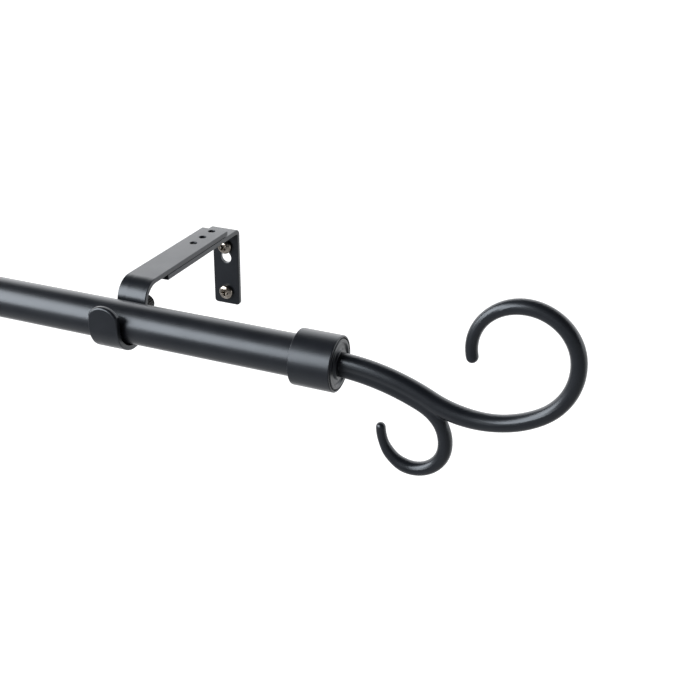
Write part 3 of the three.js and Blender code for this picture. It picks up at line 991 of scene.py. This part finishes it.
plug_low, plug_high = cad_mm("slide_plug")
stem = thin_radius - TUBE_WALL - 0.15
flange_start = thin_high.x + 0.3
plug_corners = [
    (plug_low.x, 0.0, 0), (plug_low.x, stem, 0.6), (flange_start, stem, 0.05),
    (flange_start, sleeve, 0.3), (plug_high.x, sleeve, 0.8), (plug_high.x, 5.5, 0.5),
    (plug_high.x - 1.5, 4.8, 0.3), (plug_high.x - 1.5, 0.0, 0),
]
plug = turned("slide_plug_shape", rounded(plug_corners), False)
settle("slide_plug_plastic", shape_of(plug), "slide_plug", plastic, on_rod)
print(f"rod: {(tube_high.x - thin_low.x):.0f} mm over both tubes")

# %% [markdown]
# ## The end collars
#
# A collar slips over each tube's end. It is a turned cap: a plastic liner inside, a web across
# it that takes the screw, and an end plate set into its outer end with a thin gap all round.
# The end plate has a turned groove between its rim and a low boss. All of these are profiles with
# rounded corners again, made once for the right side and turned round for the left one.

# %% Collar, end plate and liner
COLLAR_WALL = 1.2
WEB_INSET = 1.6
WEB = 1.5
SCREW_BORE = 2.9
collar_radius = (collar_high.z - collar_low.z) / 2
bore = collar_radius - COLLAR_WALL
near, far = collar_low.x, collar_high.x
collar = shape_of(turned_ring(
    "collar_shape",
    [
        (near, bore, 0.2), (near, collar_radius, 0.4), (far, collar_radius, 0.75), (far, bore, 0.3),
        (far - WEB_INSET, bore, 0.2), (far - WEB_INSET, SCREW_BORE, 0.1),
        (far - WEB_INSET - WEB, SCREW_BORE, 0.1), (far - WEB_INSET - WEB, bore, 0.3),
    ],
    144,
))
end_low, end_high = cad_mm("right_end_plate")
end_radius = (end_high.z - end_low.z) / 2
face = end_high.x - 0.6
BOSS = 8.6
end_plate = shape_of(turned_ring(
    "end_plate_shape",
    [
        (end_low.x, SCREW_BORE, 0.1), (end_low.x, end_radius, 0.2), (face, end_radius, 0.8),
        (face, end_radius - 1.9, 0.5), (face - 1.0, end_radius - 2.6, 0.3),
        (face - 0.7, BOSS + 0.6, 0.3), (face - 0.1, BOSS + 0.1, 0.3),
        (end_high.x, BOSS - 0.2, 0.45), (end_high.x, SCREW_BORE, 0.1),
    ],
    144,
))
print(f"collar {far - near:.1f} mm long, end plate {2 * end_radius:.1f} mm across")


def liner_ring(side, radius):
    low, high = cad_mm("right_collar_liner")
    outside = (high.z - low.z) / 2
    inside = radius + 0.15
    return shape_of(turned_ring(
        f"{side}_liner_shape",
        [(low.x, inside, 0.4), (low.x, outside, 0.2), (high.x, outside, 0.2), (high.x, inside, 0.2)],
    ))


finial_sides = (("right", tube_radius, on_rod), ("left", thin_radius, to_left_finial @ on_rod))
for side, radius, place in finial_sides:
    settle(f"{side}_end_collar_cap", collar, f"{side}_end_collar", coat, place)
    settle(f"{side}_end_plate_disc", end_plate, f"{side}_end_plate", coat, place)
    settle(f"{side}_liner_plastic", liner_ring(side, radius), f"{side}_collar_liner", plastic, place)

SCROLL_HEAD_HEIGHT = 2.8
SCROLL_SHANK_RADIUS = 2.5
screw_low, screw_high = cad_mm("right_scroll_screw")
scroll_head = ((screw_high.z - screw_low.z) / 2, SCROLL_HEAD_HEIGHT)
scroll_shank = (SCROLL_SHANK_RADIUS, screw_high.x - screw_low.x - SCROLL_HEAD_HEIGHT)
scroll_screw = pan_screw("scroll_screw", zinc, scroll_head, scroll_shank, 0.5, 0.8, (1.5, 4.6, 1.0))
screw_place = on_rod @ Matrix.Translation((screw_low.x + SCROLL_HEAD_HEIGHT, 0, 0))
settle_pair("scroll_screw_zinc", scroll_screw, "scroll_screw", zinc, to_left_finial, screw_place)
print("finial caps: 2, scroll screws: 2")

# %% [markdown]
# ## The scroll
#
# The scroll is two round bars, tapered and bent cold into curls, and welded side by side at the
# base. Each follows a rule: a start, a heading, and a chain of arcs, with the bar's radius
# given at a few distances. The script lays out that line with its radius as an attribute. A
# node tree turns the line into a curve, gives it the radius and sweeps a circle along it.
# The end of the line shrinks as a half circle does, so each tip comes out round.

# %% Centrelines of the two bars
LONG_BAR = {
    "start": (-2.4, 1.75), "heading": -0.6,
    "arcs": [
        (129.4, -25.2), (65.2, 26.2), (59.8, 33.1), (36.8, 64.2),
        (29.5, 66.3), (28.1, 67.1), (26.3, 60.7),
    ],
    "taper": [(0, 5.6), (70, 5.6), (102, 5), (150, 4.5), (202, 4.5), (236, 3.6), (280, 3.5)],
}
SHORT_BAR = {
    "start": (-2.4, -2.55), "heading": -1.8,
    "arcs": [(134.9, -21.7), (26.1, -70.5), (18.8, -78.4), (17.1, -44), (22.1, -28.9), (28.9, -27.4)],
    "taper": [(0, 5), (50, 5), (72, 4.3), (115, 4.2), (126, 3.6), (136, 3), (160, 2.7)],
}
LINE_STEP = 0.6
SWEEP_SHARE = 0.985


def bar_length(bar):
    return sum(radius * math.radians(abs(degrees)) for radius, degrees in bar["arcs"])


def along_bar(bar, distance):
    x, z = bar["start"]
    heading = math.radians(bar["heading"])
    for radius, degrees in bar["arcs"]:
        side = math.copysign(1, degrees)
        length = radius * math.radians(abs(degrees))
        sweep = side * min(distance, length) / radius
        x += side * radius * (math.sin(heading + sweep) - math.sin(heading))
        z -= side * radius * (math.cos(heading + sweep) - math.cos(heading))
        heading += sweep
        distance -= length
        if distance <= 0:
            break
    return x, z


def thickness_at(bar, distance):
    """Smoothly between the given radii."""
    for (start, r0), (end, r1) in zip(bar["taper"], bar["taper"][1:]):
        if distance <= end:
            t = (distance - start) / (end - start)
            return r0 + (r1 - r0) * t * t * (3 - 2 * t)
    return bar["taper"][-1][1]


def centreline(name, bar):
    length = bar_length(bar)
    tip = thickness_at(bar, length)
    straight = length - tip
    steps = round(straight / LINE_STEP)
    distances = [straight * k / steps for k in range(steps + 1)]
    distances += [straight + tip * math.sin(math.radians(a)) for a in range(6, 90, 6)] + [length]
    mesh = bpy.data.meshes.new(name)
    points = [along_bar(bar, distance) for distance in distances]
    mesh.from_pydata([(x, 0, z) for x, z in points], [(i, i + 1) for i in range(len(points) - 1)], [])
    thick = mesh.attributes.new("thick", "FLOAT", "POINT")
    for item, distance in zip(thick.data, distances):
        share = max(0.0, (distance - straight) / tip)
        rounding = max(0.004, math.sqrt(max(0.0, 1 - share * share)))
        item.value = SWEEP_SHARE * thickness_at(bar, min(distance, straight)) * rounding
    print(f"{name}: {length:.0f} mm, {len(points)} points")
    return new_object(name, mesh)


long_line = centreline("long_bar", LONG_BAR)
short_line = centreline("short_bar", SHORT_BAR)

# %% [markdown]
# ### Sweeping the bars and joining them
#
# The tree reads the radius attribute with Named Attribute, and Curve to Mesh carries a circle
# along the line and closes both ends. The bars start a little inside the end plate, so that the
# base can be cut flat later.

# %% The sweep tree
def make_sweep_tree():
    inputs = [("Sides", "NodeSocketInt"), ("Material", "NodeSocketMaterial")]
    tree, given = new_tree("sweep_a_round_bar", inputs)
    to_curve = tree.nodes.new("GeometryNodeMeshToCurve")
    thick = tree.nodes.new("GeometryNodeInputNamedAttribute")
    thick.data_type = "FLOAT"
    thick.inputs["Name"].default_value = "thick"
    radius = tree.nodes.new("GeometryNodeSetCurveRadius")
    circle = tree.nodes.new("GeometryNodeCurvePrimitiveCircle")
    circle.inputs["Radius"].default_value = 1
    sweep = tree.nodes.new("GeometryNodeCurveToMesh")
    sweep.inputs["Fill Caps"].default_value = True
    links = tree.links
    links.new(given["Geometry"], to_curve.inputs["Mesh"])
    links.new(to_curve.outputs["Curve"], radius.inputs["Curve"])
    links.new(thick.outputs["Attribute"], radius.inputs["Radius"])
    links.new(given["Sides"], circle.inputs["Resolution"])
    links.new(radius.outputs["Curve"], sweep.inputs["Curve"])
    links.new(circle.outputs["Curve"], sweep.inputs["Profile Curve"])
    if "Scale" in sweep.inputs:
        links.new(thick.outputs["Attribute"], sweep.inputs["Scale"])
    finish_tree(tree, sweep.outputs["Mesh"], given["Material"])
    return tree


sweep_tree = make_sweep_tree()


def swept(line, sides):
    modifier = line.modifiers.new("sweep", "NODES")
    modifier.node_group = sweep_tree
    set_inputs(modifier, {"Sides": sides, "Material": coat})
    bar = applied(line)
    left_open = close_up(bar.data)
    print(f"{bar.name}: {len(bar.data.polygons)} faces, {left_open} open edges")
    return bar


long_bar = swept(long_line, 48)
short_bar = swept(short_line, 44)

# %% [markdown]
# ### The weld
#
# Where the two bars touch there is a line of weld, ground smooth and filled by the coat. A Boolean
# joins the bars first. Remesh then gives them one even skin, and Smooth rounds the valley between
# them. The base is cut flat last, so its edge stays clean.

# %% Join the bars and cut the base flat
SKIN_STEP = 0.5
union = long_bar.modifiers.new("weld", "BOOLEAN")
union.operation = "UNION"
union.solver = "EXACT"
union.object = short_bar
welded = applied(long_bar)
shape_of(short_bar)
remesh = welded.modifiers.new("fine_skin", "REMESH")
remesh.mode = "VOXEL"
remesh.voxel_size = SKIN_STEP
fillet = welded.modifiers.new("weld_fillet", "SMOOTH")
fillet.factor = 0.5
fillet.iterations = 10
welded = applied(welded)

work = bmesh.new()
work.from_mesh(welded.data)
everything = work.verts[:] + work.edges[:] + work.faces[:]
bmesh.ops.bisect_plane(
    work, geom=everything, dist=1e-5, plane_co=(0, 0, 0), plane_no=(1, 0, 0), clear_inner=True,
)
bmesh.ops.holes_fill(work, edges=[e for e in work.edges if e.is_boundary], sides=0)
work.to_mesh(welded.data)
work.free()
left_open = close_up(welded.data)
scroll_mesh = shape_of(soften(welded, 35))
print(f"scroll: {len(scroll_mesh.polygons)} faces, {left_open} open edges")

scroll_low, _ = cad_mm("right_scroll")
scroll_start = Matrix.Translation((scroll_low.x, 0, 0))
settle_pair("scroll_bars", scroll_mesh, "scroll", coat, to_left_finial, on_rod @ scroll_start)

# %% [markdown]
# ## Floor, light and camera
#
# The object is black and glossy, so it is lit by what it mirrors. The pale floor lies far below.
# It glows a little behind the object, as a lit backdrop does, and stays quieter in front, so that
# the rod's lower half mirrors less light and keeps its deep black.

# %% Floor
FLOOR_DROP = 1.1
FLOOR_SIZE = 14
FLOOR_GLOW = (0.2, 1.0)
FLOOR_GLOW_FROM = (0.1, 0.62)


def make_floor():
    floor_mesh = bpy.data.meshes.new("floor")
    work = bmesh.new()
    bmesh.ops.create_grid(work, x_segments=24, y_segments=24, size=FLOOR_SIZE)
    work.to_mesh(floor_mesh)
    work.free()
    floor = new_object("floor", floor_mesh)
    floor.location = (0, 0, -FLOOR_DROP)
    material, tree, shader = new_finish("pale_floor")
    grain = noise_of(tree, 3, 3)
    tree.links.new(
        mixed_colour(tree, in_range(tree, grain, 0, 1), (0.34, 0.34, 0.345), (0.36, 0.36, 0.365)),
        shader.inputs["Base Color"],
    )
    place = tree.nodes.new("ShaderNodeTexCoord")
    split = tree.nodes.new("ShaderNodeSeparateXYZ")
    tree.links.new(place.outputs["Object"], split.inputs[0])
    glow = in_range(tree, split.outputs["Y"], *FLOOR_GLOW, *FLOOR_GLOW_FROM)
    tree.links.new(glow, shader.inputs["Emission Strength"])
    shader.inputs["Emission Color"].default_value = (1, 1, 1, 1)
    shader.inputs["Roughness"].default_value = 0.9
    shader.inputs["Specular IOR Level"].default_value = 0.0
    floor_mesh.materials.append(material)
    floor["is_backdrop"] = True


make_floor()
print("floor", FLOOR_DROP, "m below the wall plate's middle")

# %% [markdown]
# ### The sky
#
# A long rod mirrors its surroundings in bands that run along it. So the sky is painted in bands
# too: bright behind the wall side, dark overhead, and dim in front. A float curve over the angle
# round the rod holds the levels.

# %% The ring of soft light round the rod
SKY_STEPS = [
    (-180, 0.5), (-90, 0.5), (0, 2.0), (8, 2.5), (38, 2.5), (52, 0.6), (67, 0.03), (112, 0.02),
    (135, 0.1), (180, 0.4),
]


def make_sky():
    """SKY_STEPS are (degrees round the rod, brightness): 0 is the wall side, 90 overhead."""
    world = bpy.data.worlds.new("soft_studio")
    bpy.context.scene.world = world
    world.use_nodes = True
    tree = world.node_tree
    background = tree.nodes["Background"]
    place = tree.nodes.new("ShaderNodeTexCoord")
    split = tree.nodes.new("ShaderNodeSeparateXYZ")
    tree.links.new(place.outputs["Generated"], split.inputs[0])
    around = maths(tree, "ARCTAN2", split.outputs["Z"], split.outputs["Y"])
    share = maths(tree, "MULTIPLY_ADD", around, 0.5 / math.pi, 0.5)
    ramp = tree.nodes.new("ShaderNodeFloatCurve")
    points = ramp.mapping.curves[0].points
    top = max(level for _, level in SKY_STEPS)
    for i, (degrees, level) in enumerate(SKY_STEPS):
        at = (degrees + 180) / 360
        if i == 0:
            points[0].location = (at, level / top)
        elif i == len(SKY_STEPS) - 1:
            points[-1].location = (at, level / top)
        else:
            points.new(at, level / top)
    for point in points:
        point.handle_type = "AUTO_CLAMPED"
    ramp.mapping.update()
    tree.links.new(share, ramp.inputs["Value"])
    strength = maths(tree, "MULTIPLY", ramp.outputs[0], top)
    tree.links.new(strength, background.inputs["Strength"])
    background.inputs["Color"].default_value = (0.98, 0.985, 1.0, 1)


make_sky()
print("sky steps:", len(SKY_STEPS))

# %% [markdown]
# ### Soft panel and camera
#
# One large panel at the front left gives the long highlight on the rod and its glints on the
# scroll. The camera looks down on the bracket from the room, a little from the right.

# %% Soft panel and camera
CAMERA_AZIMUTH = math.radians(21.3685)
CAMERA_HEIGHT = math.radians(26.0485)
CAMERA_ROLL = math.radians(1.2)
CAMERA_DISTANCE = 0.58686
CAMERA_LENS = 54.35
TARGET_ALONG = 150.17
TARGET_ABOVE_ROD = 10.08
PANEL_AZIMUTH = math.radians(-50)
PANEL_HEIGHT = math.radians(22.5)
PANEL_DISTANCE = 1.4
PANEL_SIZE = (1.7, 1.0)
PANEL_POWER = 58
target = Vector((TARGET_ALONG, rod_y, rod_z + TARGET_ABOVE_ROD)) * MM


def towards(azimuth, height):
    return Vector((
        math.sin(azimuth) * math.cos(height), -math.cos(azimuth) * math.cos(height), math.sin(height),
    ))


def soft_panel():
    data = bpy.data.lights.new("front_panel", "AREA")
    data.shape = "RECTANGLE"
    data.size, data.size_y = PANEL_SIZE
    data.energy = PANEL_POWER
    data.color = (0.97, 0.98, 1.0)
    panel = bpy.data.objects.new("front_panel", data)
    bpy.context.scene.collection.objects.link(panel)
    from_target = towards(PANEL_AZIMUTH, PANEL_HEIGHT)
    panel.location = target + from_target * PANEL_DISTANCE
    panel.rotation_euler = from_target.to_track_quat("Z", "Y").to_euler()
    panel.visible_camera = False


soft_panel()
back = towards(CAMERA_AZIMUTH, CAMERA_HEIGHT)
right = Vector((math.cos(CAMERA_AZIMUTH), math.sin(CAMERA_AZIMUTH), 0))
up = back.cross(right)
rolled_right = math.cos(CAMERA_ROLL) * right + math.sin(CAMERA_ROLL) * up
rolled_up = -math.sin(CAMERA_ROLL) * right + math.cos(CAMERA_ROLL) * up
camera_data = bpy.data.cameras.new("camera")
camera_data.sensor_width = 36
camera_data.lens = CAMERA_LENS
camera_data.clip_start = 0.01
camera = bpy.data.objects.new("camera", camera_data)
bpy.context.scene.collection.objects.link(camera)
axes = Matrix((rolled_right, rolled_up, back)).transposed()
camera.matrix_world = Matrix.Translation(target + back * CAMERA_DISTANCE) @ axes.to_4x4()
bpy.context.scene.camera = camera
bpy.context.scene.view_settings.view_transform = "Standard"
print("camera at", [round(v, 4) for v in camera.location])

# %% [markdown]
# ## Size and finish
#
# The last cell measures the box round the finished pieces, leaving out the floor.

# %% Measure the finished pieces
low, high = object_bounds()
